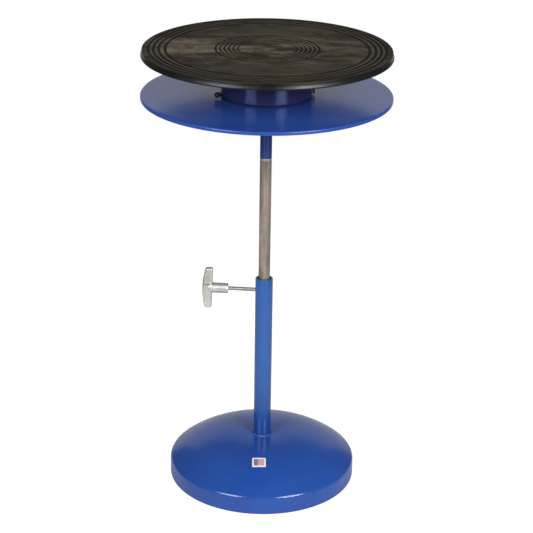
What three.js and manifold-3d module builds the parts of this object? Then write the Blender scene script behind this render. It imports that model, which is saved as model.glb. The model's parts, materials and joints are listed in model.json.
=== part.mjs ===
// Adjustable sculpting turntable: a domed steel base with an upright tube, a sliding post held
// by a T-handle clamp screw, a round shelf pan, and a ribbed turntable on a bearing drum.
// Millimetres, +Z up. The origin is on the floor, under the middle of the base.

import * as THREE from 'three';
import { mergeVertices } from 'three/addons/utils/BufferGeometryUtils.js';
import Module from 'manifold-3d';

const wasm = await Module();
wasm.setup();

// ---------------------------------------------------------------- driving dimensions

const TOTAL_HEIGHT = 859; // floor to work surface, at the post's middle setting
const DISC_RADIUS = 228.6; // 18 in turntable
const DISC_THICKNESS = 12;
const SHELF_GAP = 72; // pan to the turntable's underside
const PAN_RADIUS = 230.2;
const PAN_SHEET = 3;
const PAN_LIP = 6.5; // height of the pan's turned-down edge
const DRUM_RADIUS = 84.15; // skirt made from 6 in pipe
const BASE_RADIUS = 180;
const TUBE_OUTER = 16.7; // 1 in pipe
const TUBE_INNER = 13.3;
const TUBE_TOP = 412;
const POST_OUTER = 11.1; // 7/8 in tube
const POST_INNER = 8.1;
const CLAMP_HEIGHT = 388;
const CLAMP_TILT = THREE.MathUtils.degToRad(2.2); // the tapped hole points a little upward
const LOCK_ANGLE = THREE.MathUtils.degToRad(203); // thumb screw's place around the drum
const LOCK_HEIGHT = 7; // thumb screw and skirt screws above the pan
const GAP = 0.3; // between pieces that touch

const DISC_BOTTOM = TOTAL_HEIGHT - DISC_THICKNESS;
const PAN_TOP = DISC_BOTTOM - SHELF_GAP;

// Sides of the round pieces, by size.
const LARGE = 48;
const MEDIUM = 32;
const SMALL = 16;
const TINY = 10;

// ---------------------------------------------------------------- materials

function material(color, metalness, roughness) {
  return new THREE.MeshStandardMaterial({ color, metalness, roughness });
}

const bluePaint = () => material(0x2b4c9c, 0.1, 0.3);
const bareSteel = () => material(0x9b8c7d, 0.8, 0.45);
const brightSteel = () => material(0xb8bab8, 0.9, 0.3);
const blackSteel = () => material(0x1d1d20, 0.6, 0.4);
const castIron = () => material(0x3c3d3f, 0.5, 0.7);
const castAluminium = () => material(0xc8c7bd, 0.8, 0.4);
const brass = () => material(0xb08d4a, 0.9, 0.35);
const blackRubber = () => material(0x1f1f1f, 0, 0.8);
const ribbedBlack = () => material(0x3d362e, 0, 0.6);
const nylon = () => material(0xe4e1d6, 0, 0.5);
const paper = () => material(0xf2f0ee, 0, 0.5);

// ---------------------------------------------------------------- solids

// A closed three.js geometry as a manifold solid with its faces pointing out.
function solid(geometry) {
  const bare = geometry.clone();
  bare.deleteAttribute('normal');
  bare.deleteAttribute('uv');
  const merged = mergeVertices(bare, 1e-4);
  const at = merged.getAttribute('position');
  const index = merged.getIndex().array;
  const [a, b, c] = [new THREE.Vector3(), new THREE.Vector3(), new THREE.Vector3()];
  const faces = [];
  let volume = 0;
  for (let i = 0; i < index.length; i += 3) {
    const [p, q, r] = [index[i], index[i + 1], index[i + 2]];
    if (p === q || q === r || r === p) continue;
    faces.push([p, q, r]);
    a.fromBufferAttribute(at, p);
    b.fromBufferAttribute(at, q);
    c.fromBufferAttribute(at, r);
    volume += a.dot(b.cross(c));
  }
  if (volume < 0) faces.forEach((face) => face.reverse());
  const mesh = new wasm.Mesh({
    numProp: 3,
    vertProperties: new Float32Array(at.array),
    triVerts: new Uint32Array(faces.flat()),
  });
  return new wasm.Manifold(mesh);
}

function join(first, ...others) {
  return others.reduce((whole, other) => whole.add(other), first);
}

function cut(first, ...others) {
  return others.reduce((whole, other) => whole.subtract(other), first);
}

// A solid of revolution about Z from [radius, height] points, closed on itself.
function turned(points, sides = SMALL) {
  const outline = [...points, points[0]].map(([r, z]) => new THREE.Vector2(r, z));
  return solid(new THREE.LatheGeometry(outline, sides).rotateX(Math.PI / 2));
}

// A solid of revolution whose outline starts and ends on the axis.
function turnedSolid(points, sides = SMALL) {
  const outline = points.map(([r, z]) => new THREE.Vector2(r, z));
  return solid(new THREE.LatheGeometry(outline, sides).rotateX(Math.PI / 2));
}

function ring(inner, outer, low, high, sides = SMALL) {
  return turned([[inner, low], [outer, low], [outer, high], [inner, high]], sides);
}

function rod(radius, low, high, sides = TINY, x = 0, y = 0) {
  const shape = new THREE.CylinderGeometry(radius, radius, high - low, sides);
  return solid(shape.rotateX(Math.PI / 2).translate(x, y, (low + high) / 2));
}

// The points of a circle's arc, from one angle to another, in degrees.
function arc(x, y, radius, from, to, steps) {
  return Array.from({ length: steps + 1 }, (_, i) => {
    const angle = THREE.MathUtils.degToRad(from + ((to - from) * i) / steps);
    return [x + radius * Math.cos(angle), y + radius * Math.sin(angle)];
  });
}

function around(count, radius, offset = 0) {
  return Array.from({ length: count }, (_, i) => {
    const angle = offset + (i * 2 * Math.PI) / count;
    return { angle, x: radius * Math.cos(angle), y: radius * Math.sin(angle) };
  });
}

// A bolt standing on its head, with its shank up: head from -headHeight to 0.
function bolt(headRadius, headHeight, headSides, shankRadius, shankLength) {
  const head = rod(headRadius, -headHeight, 0, headSides);
  return join(head, rod(shankRadius, -headHeight / 2, shankLength, TINY));
}

// ---------------------------------------------------------------- scene graph

const turntable = new THREE.Group();

function addGroup(parent, x, y, z) {
  const group = new THREE.Group();
  group.position.set(x, y, z);
  parent.add(group);
  return group;
}

function addPiece(parent, name, shape, finish, x = 0, y = 0, z = 0) {
  const { numProp, vertProperties, triVerts } = shape.getMesh();
  const geometry = new THREE.BufferGeometry();
  geometry.setAttribute('position', new THREE.BufferAttribute(vertProperties, numProp));
  geometry.setIndex(new THREE.BufferAttribute(triVerts, 1));
  geometry.computeVertexNormals();
  const mesh = new THREE.Mesh(geometry, finish);
  mesh.name = name;
  mesh.position.set(x, y, z);
  parent.add(mesh);
  return mesh;
}

// ---------------------------------------------------------------- base

const RIM_HEIGHT = 2; // the shell's edge, held off the floor by the feet
const WALL_TOP = 31;
const SHOULDER_RADIUS = 10;
const SHOULDER_SWEEP = 51;
const DOME_TOP = 82;
const DOME_POWER = 3;
const SHELL_SHEET = 2.5;
const TUBE_HOLE = TUBE_OUTER + GAP;

const SHOULDER_END = shoulderArc(0, 1)[1];

// The rounded shoulder between the rim's wall and the dome, moved inward by an offset.
function shoulderArc(offset, steps) {
  const radius = SHOULDER_RADIUS - offset;
  return arc(BASE_RADIUS - SHOULDER_RADIUS, WALL_TOP, radius, 0, SHOULDER_SWEEP, steps);
}

// The dome's height at a distance from its middle.
function domeHeight(radius) {
  const [edge, edgeHeight] = SHOULDER_END;
  const share = Math.max(0, (radius - TUBE_OUTER) / (edge - TUBE_OUTER));
  return DOME_TOP - (DOME_TOP - edgeHeight) * share ** DOME_POWER;
}

// The dome's outline from the rim to the tube's hole, moved inward by an offset.
function domeOutline(offset) {
  const rim = [[BASE_RADIUS - offset, RIM_HEIGHT]];
  const dome = [155, 126, 88, TUBE_HOLE].map((radius) => {
    const slope = domeHeight(radius + 0.5) - domeHeight(radius - 0.5);
    const length = Math.hypot(slope, 1);
    const inward = radius === TUBE_HOLE ? 0 : (offset * slope) / length;
    return [radius + inward, domeHeight(radius) - offset / length];
  });
  return [...rim, ...shoulderArc(offset, 2), ...dome];
}

const PLATE_LOW = 4;
const PLATE_HIGH = 18;
const PLATE_RADIUS = 168;
const COUNTERBORE_TOP = 13.6;
const FOOT_CIRCLE = 138;
const BOLT_RADIUS = 4.8;

function makeBase() {
  const base = addGroup(turntable, 0, 0, 0);
  const shell = turned([...domeOutline(0), ...domeOutline(SHELL_SHEET).reverse()], LARGE);
  addPiece(base, 'base_shell', shell, bluePaint());

  const weldFoot = DOME_TOP + GAP;
  const weld = [
    [TUBE_HOLE, weldFoot], [21.6, weldFoot], [20.8, weldFoot + 1.9],
    [19.2, weldFoot + 3.6], [TUBE_HOLE, weldFoot + 4.8],
  ];
  addPiece(base, 'base_weld', turned(weld, MEDIUM), bluePaint());

  const clampHole = clampShape(new THREE.CylinderGeometry(4.2, 4.2, 16, 16));
  const tube = ring(TUBE_INNER, TUBE_OUTER, PLATE_HIGH + GAP, TUBE_TOP, 32);
  addPiece(base, 'outer_tube', cut(tube, clampHole), bluePaint());

  const plug = ring(BOLT_RADIUS + GAP, TUBE_INNER - GAP, PLATE_HIGH + GAP, PLATE_HIGH + 22);
  addPiece(base, 'tube_plug', plug, brightSteel());

  const feet = around(4, FOOT_CIRCLE, Math.PI / 4);
  const boltHole = BOLT_RADIUS + GAP;
  const plate = turned([
    [boltHole, PLATE_LOW], [PLATE_RADIUS - 2, PLATE_LOW], [PLATE_RADIUS, PLATE_LOW + 2],
    [PLATE_RADIUS, PLATE_HIGH - 2], [PLATE_RADIUS - 2, PLATE_HIGH], [boltHole, PLATE_HIGH],
  ], MEDIUM);
  const counterbore = rod(17.4, PLATE_LOW - 1, COUNTERBORE_TOP, SMALL);
  const footHoles = feet.map(({ x, y }) => rod(5.4, PLATE_LOW - 1, PLATE_HIGH + 1, TINY, x, y));
  addPiece(base, 'ballast_plate', cut(plate, counterbore, ...footHoles), castIron());

  addPiece(base, 'base_washer', ring(boltHole, 15, 11, COUNTERBORE_TOP - GAP), brightSteel());
  addPiece(base, 'base_bolt', bolt(9.8, 6, 6, BOLT_RADIUS, 26), brightSteel(), 0, 0, 10.7);

  const footOutline = [[0, 0], [12.6, 0], [14, 1.4], [14, 3.7], [5, 3.7], [5, 13.5], [0, 13.5]];
  feet.forEach(({ x, y }, i) => {
    addPiece(base, `foot_${i + 1}`, turnedSolid(footOutline, TINY), blackRubber(), x, y);
  });
  addPiece(base, 'label_sticker', labelShape(), paper());
}

const LABEL_WIDTH = 26;
const LABEL_LENGTH = 24;
const LABEL_THICKNESS = 0.4;
const LABEL_MIDDLE = 108; // in front of the tube
const LABEL_ASIDE = -5; // a little to its left
const LABEL_CLEARANCE = 0.6; // over the dome, whose flat facets lie a little off its curve

// A thin square-cornered sticker that follows the dome's front.
function labelShape() {
  const box = new THREE.BoxGeometry(LABEL_WIDTH, LABEL_LENGTH, LABEL_THICKNESS, 2, 4, 1);
  const at = box.getAttribute('position');
  const lift = LABEL_CLEARANCE + LABEL_THICKNESS / 2;
  for (let i = 0; i < at.count; i += 1) {
    const [x, y] = [at.getX(i) + LABEL_ASIDE, at.getY(i) - LABEL_MIDDLE];
    at.setXYZ(i, x, y, domeHeight(Math.hypot(x, y)) + lift + at.getZ(i));
  }
  return solid(box);
}

// ---------------------------------------------------------------- clamp

// The clamp's own frame: origin on the tube's surface, its local +Z out along the screw.
function clampPose() {
  const outward = new THREE.Vector3(-Math.cos(CLAMP_TILT), 0, Math.sin(CLAMP_TILT));
  const side = new THREE.Vector3(0, 1, 0);
  const across = new THREE.Vector3().crossVectors(side, outward);
  const pose = new THREE.Matrix4().makeBasis(across, side, outward);
  return pose.setPosition(-TUBE_OUTER, 0, CLAMP_HEIGHT);
}

// A cylinder about the clamp's axis, as a solid in the object's frame.
function clampShape(geometry) {
  return solid(geometry.rotateX(Math.PI / 2).applyMatrix4(clampPose()));
}

const SCREW_RADIUS = 3.95; // 5/16 in
const SCREW_TIP = -2.6; // just inside the tube
const HUB_START = 51;
const HUB_LENGTH = 32;
const GRIP_DEPTH = 18;
const GRIP_SPAN = 80;
const PIN_PLACE = HUB_START + 10;

function makeClamp() {
  const clamp = new THREE.Group();
  clampPose().decompose(clamp.position, clamp.quaternion, clamp.scale);
  turntable.add(clamp);

  const padOutline = [[0, -5.2], [2.9, -5.2], [2.9, -2.9], [1.5, -2.9], [1.5, 1.6], [0, 1.6]];
  addPiece(clamp, 'clamp_pad', turnedSolid(padOutline, TINY), brass());

  const pinHole = solid(new THREE.CylinderGeometry(2.2, 2.2, 40, TINY).translate(0, 0, PIN_PLACE));
  const bored = [[0, 2], [1.8, 2], [1.8, SCREW_TIP], [3.2, SCREW_TIP], [SCREW_RADIUS, SCREW_TIP + 1]];
  const screw = turnedSolid([...bored, [SCREW_RADIUS, HUB_START + 24], [0, HUB_START + 24]]);
  addPiece(clamp, 'clamp_screw', cut(screw, pinHole), brightSteel());

  const hubEnd = HUB_START + HUB_LENGTH;
  const bore = rod(SCREW_RADIUS + GAP, HUB_START - 1, HUB_START + 24 + GAP, SMALL);
  const hub = turnedSolid([
    [0, HUB_START], [7.8, HUB_START], [9.6, HUB_START + 2], [9.9, hubEnd + 6], [0, hubEnd + 6],
  ]);
  const handle = cut(join(hub, gripShape(hubEnd)), bore, pinHole);
  addPiece(clamp, 'clamp_handle', handle, castAluminium());

  const pin = new THREE.CylinderGeometry(1.9, 1.9, 18.4, TINY).translate(0, 0, PIN_PLACE);
  addPiece(clamp, 'clamp_pin', solid(pin), brightSteel());
}

// The T's cross bar along local X: straight on the hub's side, bowed on the outer side, with
// blunt tapered ends. Each section across it is an eight-sided barrel shape.
function gripShape(innerFace) {
  const stations = 8;
  const barrel = arc(0, 0, 0.5, 22.5, 337.5, 7).map(([x, y]) => new THREE.Vector2(x, y));
  const outline = new THREE.Shape(barrel);
  const bar = new THREE.ExtrudeGeometry(outline, { depth: 1, steps: stations, bevelEnabled: false });
  const at = bar.getAttribute('position');
  for (let i = 0; i < at.count; i += 1) {
    const along = at.getZ(i) * 2 - 1;
    const end = Math.abs(along) ** 2.2;
    const blunt = Math.abs(along) > 0.99 ? 0.84 : 1;
    const depth = (GRIP_DEPTH - 5.6 * end) * blunt;
    const width = (17 - 4.5 * end) * blunt;
    const middle = innerFace + GRIP_DEPTH / 2 - 2.2 * end;
    at.setXYZ(i, (along * GRIP_SPAN) / 2, at.getY(i) * width * 1.08, middle + at.getX(i) * depth * 1.08);
  }
  return solid(bar);
}

// ---------------------------------------------------------------- post, pan and hub

const FLANGE_RADIUS = 82;
const SEAT_RADIUS = 86; // shallow seat in the pan under the drum
const SEAT_DEPTH = 0.5;
const FLANGE_SHEET = 6;
const HUB_WALL = 77;
const HUB_BOLT_CIRCLE = 67;
const GROOVE_RADIUS = 74.2;
const BOSS_TOP = 51; // above the pan
const RACE_LOW = 11;
const RACE_HIGH = 21;
const RACE_OUTER = 20.7;
const POST_BELOW = 498; // length of the post under the pan's top

function makePost() {
  const post = addGroup(turntable, 0, 0, PAN_TOP);
  const flangeTop = -PAN_SHEET - GAP;
  const flangeBottom = flangeTop - FLANGE_SHEET;
  const guideTop = -POST_BELOW - GAP;

  const guide = [
    [0, guideTop - 10], [11.6, guideTop - 10], [TUBE_INNER - GAP, guideTop - 8],
    [TUBE_INNER - GAP, guideTop], [POST_INNER - GAP, guideTop],
    [POST_INNER - GAP, guideTop + 22], [0, guideTop + 22],
  ];
  addPiece(post, 'post_guide', turnedSolid(guide), nylon());
  addPiece(post, 'post_tube', ring(POST_INNER, POST_OUTER, -POST_BELOW, flangeTop), bareSteel());

  const weldTop = flangeBottom - GAP;
  const postSide = POST_OUTER + GAP;
  const weld = [[postSide, weldTop], [18, weldTop], [14.5, weldTop - 4.5], [postSide, weldTop - 6.5]];
  addPiece(post, 'post_weld', turned(weld, MEDIUM), bluePaint());

  const bolts = around(4, HUB_BOLT_CIRCLE, Math.PI / 4);
  const boltHoles = bolts.map(({ x, y }) => rod(4.3, flangeBottom - 1, 1, TINY, x, y));
  const flange = ring(postSide, FLANGE_RADIUS, flangeBottom, flangeTop, MEDIUM);
  addPiece(post, 'post_flange', cut(flange, ...boltHoles), bluePaint());

  addPiece(post, 'pan', cut(panShape(), ...boltHoles), bluePaint());

  bolts.forEach(({ x, y }, i) => {
    const hubBolt = bolt(7.3, 5.3, 6, 3.8, FLANGE_SHEET + PAN_SHEET + 10);
    addPiece(post, `hub_bolt_${i + 1}`, hubBolt, brightSteel(), x, y, flangeBottom - GAP);
  });

  const blindHoles = bolts.map(({ x, y }) => rod(4.1, -1, 11, TINY, x, y));
  addPiece(post, 'hub', cut(hubShape(), ...blindHoles), castIron());

  addPiece(post, 'radial_outer_race', ring(17.9, RACE_OUTER, RACE_LOW, RACE_HIGH), brightSteel());
  addPiece(post, 'radial_cage', ballCage(15.45, 2, 8, (RACE_LOW + RACE_HIGH) / 2, 0.9, 1.2), brass());
  const washerTop = BOSS_TOP + GAP + 3;
  addPiece(post, 'thrust_washer_lower', ring(21.4, 38, BOSS_TOP + GAP, washerTop), brightSteel());
  addPiece(post, 'thrust_cage', ballCage(30, 3.6, 10, washerTop + GAP + 3.6, 6, 1), brass());
}

// Sheet disc with a turned-down lip, a rounded upper edge and a shallow seat for the hub.
function panShape() {
  const edge = arc(PAN_RADIUS - 2, -2, 2, 90, 0, 2);
  const lipInside = PAN_RADIUS - PAN_SHEET;
  return turned([
    [20, -PAN_SHEET], [20, -SEAT_DEPTH], [SEAT_RADIUS, -SEAT_DEPTH], [SEAT_RADIUS, 0], ...edge,
    [PAN_RADIUS, -PAN_LIP], [lipInside, -PAN_LIP], [lipInside, -PAN_SHEET],
  ], LARGE);
}

// Inverted cup with a thick foot ring, a groove for the skirt's screws and a central boss.
function hubShape() {
  const [foot, top, web, bossOuter] = [GAP - SEAT_DEPTH, 45, 7, 38];
  const outside = [
    [HUB_WALL, foot], [HUB_WALL, LOCK_HEIGHT - 4], [GROOVE_RADIUS, LOCK_HEIGHT - 4],
    [GROOVE_RADIUS, LOCK_HEIGHT + 4], [HUB_WALL, LOCK_HEIGHT + 4], [HUB_WALL, top],
  ];
  const boss = [
    [bossOuter, top], [bossOuter, BOSS_TOP], [17, BOSS_TOP], [17, RACE_HIGH + GAP],
    [RACE_OUTER + GAP, RACE_HIGH + GAP], [RACE_OUTER + GAP, 8], [28, 8],
  ];
  const inside = [[28, top - web], [70, top - web], [70, 17], [58, 14], [58, foot]];
  return turned([...outside, ...boss, ...inside], MEDIUM);
}

// Balls joined by their cage ring, which runs through their middles.
function ballCage(circle, ballRadius, count, middle, halfWidth, halfHeight) {
  const cage = ring(circle - halfWidth, circle + halfWidth, middle - halfHeight, middle + halfHeight);
  const balls = around(count, circle).map(({ x, y }) => {
    return solid(new THREE.OctahedronGeometry(ballRadius, 1).translate(x, y, middle));
  });
  return join(cage, ...balls);
}

// ---------------------------------------------------------------- turntable head

const SPINDLE_FLANGE = 79;
const SHAFT_RADIUS = 10;
const THREAD_RADIUS = 8;
const PLATE_BOLT_CIRCLE = 56;
const SKIRT_WALL = 3;
const SKIRT_CLEARANCE = 1.6; // the skirt's lower edge above the pan
const BACKING_SHEET = 6.4;

function makeHead() {
  const head = addGroup(turntable, 0, 0, DISC_BOTTOM);
  const panLevel = -SHELF_GAP;
  const flangeLow = -6.6;

  const bolts = around(4, PLATE_BOLT_CIRCLE);
  const boltHoles = bolts.map(({ x, y }) => rod(4.2, flangeLow - 1, BACKING_SHEET + 1, TINY, x, y));
  const shoulder = panLevel + RACE_HIGH + GAP;
  const threadTop = panLevel + RACE_LOW - GAP;
  const spindle = turnedSolid([
    [0, panLevel + 1], [THREAD_RADIUS, panLevel + 1], [THREAD_RADIUS, threadTop],
    [SHAFT_RADIUS, threadTop], [SHAFT_RADIUS, shoulder], [13, shoulder], [16, shoulder + 6],
    [16, flangeLow], [SPINDLE_FLANGE, flangeLow], [SPINDLE_FLANGE, -GAP], [0, -GAP],
  ], MEDIUM);
  addPiece(head, 'spindle', cut(spindle, ...boltHoles), brightSteel());

  const race = ring(SHAFT_RADIUS + GAP, 13, panLevel + RACE_LOW, panLevel + RACE_HIGH);
  addPiece(head, 'radial_inner_race', race, brightSteel());
  const washer = ring(THREAD_RADIUS + GAP, 12.6, panLevel + 8.6, panLevel + RACE_LOW - GAP);
  addPiece(head, 'spindle_washer', washer, brightSteel());
  const nutBlank = rod(13, panLevel + 1.6, panLevel + 8.3, 6);
  const nutThread = rod(THREAD_RADIUS + GAP, panLevel, panLevel + 10, SMALL);
  addPiece(head, 'spindle_nut', cut(nutBlank, nutThread), brightSteel());
  const washerTop = flangeLow - GAP;
  addPiece(head, 'thrust_washer_upper', ring(21.4, 38, washerTop - 3, washerTop), brightSteel());

  const plateHoles = bolts.map(({ x, y }) => rod(4.2, -1, BACKING_SHEET + 1, TINY, x, y));
  const plate = turnedSolid([[0, 0], [224.6, 0], [224.6, BACKING_SHEET], [0, BACKING_SHEET]], LARGE);
  addPiece(head, 'turntable_plate', cut(plate, ...plateHoles), blackSteel());
  bolts.forEach(({ x, y }, i) => {
    const plateBolt = bolt(7.3, 5.3, 6, 3.8, 12);
    addPiece(head, `plate_bolt_${i + 1}`, plateBolt, brightSteel(), x, y, washerTop);
  });
  addPiece(head, 'turntable_cover', coverShape(), ribbedBlack());

  makeSkirt(head, panLevel);
}

// Moulded disc that wraps over the steel plate's edge.
function coverShape() {
  const rounding = arc(DISC_RADIUS - 3, DISC_THICKNESS - 3, 3, 0, 90, 2);
  const under = BACKING_SHEET + GAP;
  return turnedSolid([
    [0, under], [225, under], [225, 0], [DISC_RADIUS, 0], ...rounding, [0, DISC_THICKNESS],
  ], LARGE);
}

function makeSkirt(head, panLevel) {
  const level = panLevel + LOCK_HEIGHT;
  const screws = around(6, DRUM_RADIUS).slice(0, 3); // all on the back half
  const radialHole = (angle) => {
    const hole = new THREE.CylinderGeometry(3.2, 3.2, 20, TINY).rotateZ(Math.PI / 2);
    return solid(hole.translate(DRUM_RADIUS, 0, level).rotateZ(angle));
  };
  const wall = ring(DRUM_RADIUS - SKIRT_WALL, DRUM_RADIUS, panLevel + SKIRT_CLEARANCE, -GAP, MEDIUM);
  const holes = [...screws.map(({ angle }) => radialHole(angle)), radialHole(LOCK_ANGLE)];
  addPiece(head, 'skirt', cut(wall, ...holes), bluePaint());

  const screwOutline = [[0, 3], [2.6, 3], [4.6, 1.8], [5.2, GAP], [2.9, GAP], [2.9, -8.4], [0, -8.4]];
  screws.forEach(({ angle, x, y }, i) => {
    const shape = turnedSolid(screwOutline, TINY);
    const screw = addPiece(head, `skirt_screw_${i + 1}`, shape, blackSteel(), x, y, level);
    screw.rotation.set(0, Math.PI / 2, angle, 'ZYX');
  });
  makeLock(head, level);
}

// Thumb screw that presses a nylon pad on the hub's groove: local +Z is outward.
function makeLock(head, level) {
  const [{ x, y }] = around(1, DRUM_RADIUS, LOCK_ANGLE);
  const lock = addGroup(head, x, y, level);
  lock.rotation.set(0, Math.PI / 2, LOCK_ANGLE, 'ZYX');
  const shaft = 2.9;
  const groove = GROOVE_RADIUS - DRUM_RADIUS;
  const padOutline = [[0, groove + 1], [2.4, groove + 1], [2.4, groove + 3], [0, groove + 3]];
  addPiece(lock, 'lock_pad', turnedSolid(padOutline, TINY), nylon());

  const nut = cut(rod(6, GAP, 3.6, 6), rod(shaft + GAP, -1, 5, TINY));
  addPiece(lock, 'lock_nut', nut, bluePaint());

  const stem = rod(shaft, groove + 3 + GAP, 9, TINY);
  const knob = turnedSolid([[0, 6.4], [3.6, 6.4], [5, 8], [5, 15], [4, 16.4], [0, 16.4]], TINY);
  addPiece(lock, 'lock_screw', join(stem, knob), blackSteel());
}

makeBase();
makeClamp();
makePost();
makeHead();

export default turntable;
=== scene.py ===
"""Looks of the adjustable sculpting turntable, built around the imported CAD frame.

Every visible piece is a detailed mesh that stands for one or more CAD nodes and rides on their
body. Shapes are written in millimetres, in the CAD's own frame (+Z up, origin on the floor under
the middle of the base), and turned into metres when the object is made.
"""

import json
import math

import bmesh
import bpy
from mathutils import Matrix, Vector, noise

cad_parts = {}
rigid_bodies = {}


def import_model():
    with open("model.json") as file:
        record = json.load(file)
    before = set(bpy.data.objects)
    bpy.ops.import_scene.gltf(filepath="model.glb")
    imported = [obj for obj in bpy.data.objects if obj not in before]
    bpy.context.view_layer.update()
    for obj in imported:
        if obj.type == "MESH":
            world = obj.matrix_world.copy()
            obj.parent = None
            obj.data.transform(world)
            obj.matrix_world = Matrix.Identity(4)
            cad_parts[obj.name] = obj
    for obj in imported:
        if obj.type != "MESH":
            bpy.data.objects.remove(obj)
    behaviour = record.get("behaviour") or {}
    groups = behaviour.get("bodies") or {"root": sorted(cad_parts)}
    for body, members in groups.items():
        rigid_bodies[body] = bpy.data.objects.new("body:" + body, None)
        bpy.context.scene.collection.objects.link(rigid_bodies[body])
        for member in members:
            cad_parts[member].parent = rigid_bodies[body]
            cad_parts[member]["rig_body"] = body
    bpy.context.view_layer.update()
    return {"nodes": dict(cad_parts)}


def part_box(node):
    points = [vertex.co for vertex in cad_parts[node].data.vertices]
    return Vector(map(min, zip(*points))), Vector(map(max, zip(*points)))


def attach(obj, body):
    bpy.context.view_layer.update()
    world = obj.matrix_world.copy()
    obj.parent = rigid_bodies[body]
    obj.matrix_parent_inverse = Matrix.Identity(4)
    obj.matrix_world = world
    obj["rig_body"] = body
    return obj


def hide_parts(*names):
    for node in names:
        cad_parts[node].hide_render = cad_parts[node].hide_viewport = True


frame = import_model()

MM = 0.001
TURN = 2 * math.pi
NODES = frame["nodes"]


def edges_of(node):
    """A CAD node's lowest and highest corners at rest, in millimetres."""
    low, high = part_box(node)
    return low / MM, high / MM


# ---------------------------------------------------------------- sizes, from the CAD

COVER_LOW, COVER_HIGH = edges_of("turntable_cover")
DISC_TOP = COVER_HIGH.z
DISC_BOTTOM = COVER_LOW.z
DISC_RADIUS = COVER_HIGH.x
PAN_LOW, PAN_HIGH = edges_of("pan")
PAN_TOP = PAN_HIGH.z
PAN_RADIUS = PAN_HIGH.x
SKIRT_LOW, SKIRT_HIGH = edges_of("skirt")
DRUM_RADIUS = SKIRT_HIGH.x
SHELL_LOW, SHELL_HIGH = edges_of("base_shell")
BASE_RADIUS = SHELL_HIGH.x
DOME_TOP = SHELL_HIGH.z
TUBE_LOW, TUBE_HIGH = edges_of("outer_tube")
TUBE_TOP = TUBE_HIGH.z
TUBE_OUTER = TUBE_HIGH.x
TUBE_INNER = 13.3
POST_LOW, POST_HIGH = edges_of("post_tube")
POST_OUTER = POST_HIGH.x
POST_INNER = 8.1
PAINT_LINE = 653.0  # the post is painted above this height
CLAMP_HEIGHT = 388.0
CLAMP_TILT = math.radians(2.2)
HUB_START = 51.0  # the clamp handle's hub, out from the tube's side
HUB_END = 83.0
SEAM_PLACE = 8.6  # a seam across the grip, up from the screw's axis
LOCK_ANGLE = math.radians(203)
LOCK_HEIGHT = PAN_TOP + 7


# ---------------------------------------------------------------- outlines

def rounded(points, steps=5, closed=True):
    """Outline of (r, z) or (r, z, fillet radius) points, with its corners rounded."""
    out = []
    count = len(points)
    for i, point in enumerate(points):
        corner = Vector(point[:2])
        fillet = point[2] if len(point) > 2 else 0
        if not fillet or (not closed and i in (0, count - 1)):
            out.append(tuple(corner))
            continue
        before = (Vector(points[i - 1][:2]) - corner).normalized()
        after = (Vector(points[(i + 1) % count][:2]) - corner).normalized()
        half = before.angle(after) / 2
        reach = fillet / math.tan(half)
        middle = corner + (before + after).normalized() * fillet / math.sin(half)
        start = corner + before * reach - middle
        end = corner + after * reach - middle
        turn = start.angle_signed(end)
        for step in range(steps + 1):
            spoke = start.copy()
            spoke.rotate(Matrix.Rotation(-turn * step / steps, 2))
            out.append(tuple(middle + spoke))
    return out


def ring(inner, outer, low, high, fillets, steps=5):
    """A ring's section; the fillets go round from its lower inner corner."""
    corners = ((inner, low), (outer, low), (outer, high), (inner, high))
    return rounded([(*corner, fillet) for corner, fillet in zip(corners, fillets)], steps)


def arc(x, y, radius, start, end, steps):
    """Points along a circle's arc, angles in degrees."""
    angles = [math.radians(start + (end - start) * i / steps) for i in range(steps + 1)]
    return [(x + radius * math.cos(a), y + radius * math.sin(a)) for a in angles]


def divided(points, longest, closed=False):
    """The outline with extra points, so that no side is longer than the given length."""
    out = []
    for a, b in zip(points, points[1:] + points[:1] if closed else points[1:]):
        pieces = max(1, math.ceil(math.dist(a, b) / longest))
        out += [(a[0] + (b[0] - a[0]) * i / pieces, a[1] + (b[1] - a[1]) * i / pieces)
                for i in range(pieces)]
    return out if closed else out + [points[-1]]


def limited(share):
    return max(0.0, min(1.0, share))


# ---------------------------------------------------------------- mesh parts

class Shape:
    """Vertices and faces of one piece while it is put together, in millimetres."""

    def __init__(self):
        self.verts = []
        self.faces = []

    def add(self, verts, faces, place=None):
        """Adds a part, moved to its place, and returns the shape."""
        first = len(self.verts)
        place = place or Matrix.Identity(4)
        self.verts += [place @ Vector(v) for v in verts]
        self.faces += [[first + i for i in face] for face in faces]
        return self


def turned(points, sides=96, closed=True, shift=None):
    """A surface of revolution about Z. shift(angle, r, z) may move each point to a new (r, z)."""
    verts, rows, faces = [], [], []
    for r, z in points:
        if r < 1e-4:
            rows.append([len(verts)] * sides)
            verts.append((0, 0, z))
            continue
        rows.append(list(range(len(verts), len(verts) + sides)))
        for j in range(sides):
            angle = TURN * j / sides
            radius, height = shift(angle, r, z) if shift else (r, z)
            verts.append((radius * math.cos(angle), radius * math.sin(angle), height))
    pairs = list(zip(rows, rows[1:])) + ([(rows[-1], rows[0])] if closed else [])
    for low, high in pairs:
        for j in range(sides):
            k = (j + 1) % sides
            face = list(dict.fromkeys((low[j], low[k], high[k], high[j])))
            if len(face) > 2:
                faces.append(face)
    return verts, faces


def threaded(radius, depth, pitch, low, high, sides=32, rows=6):
    """A closed rod about Z with a real helical thread, its ends tapering to the root."""
    count = max(2, round((high - low) / pitch * rows))
    points = [(1.0, low + (high - low) * i / count) for i in range(count + 1)]

    def cut(angle, _, z):
        share = ((z - low) / pitch - angle / TURN) % 1
        notch = depth * min(1, abs(2 * share - 1) * 1.25)
        ends = max(0, 1 - min(z - low, high - z) / pitch)
        return radius - max(notch, depth * ends), z

    return turned([(0, low), *points, (0, high)], sides, False, cut)


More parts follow.
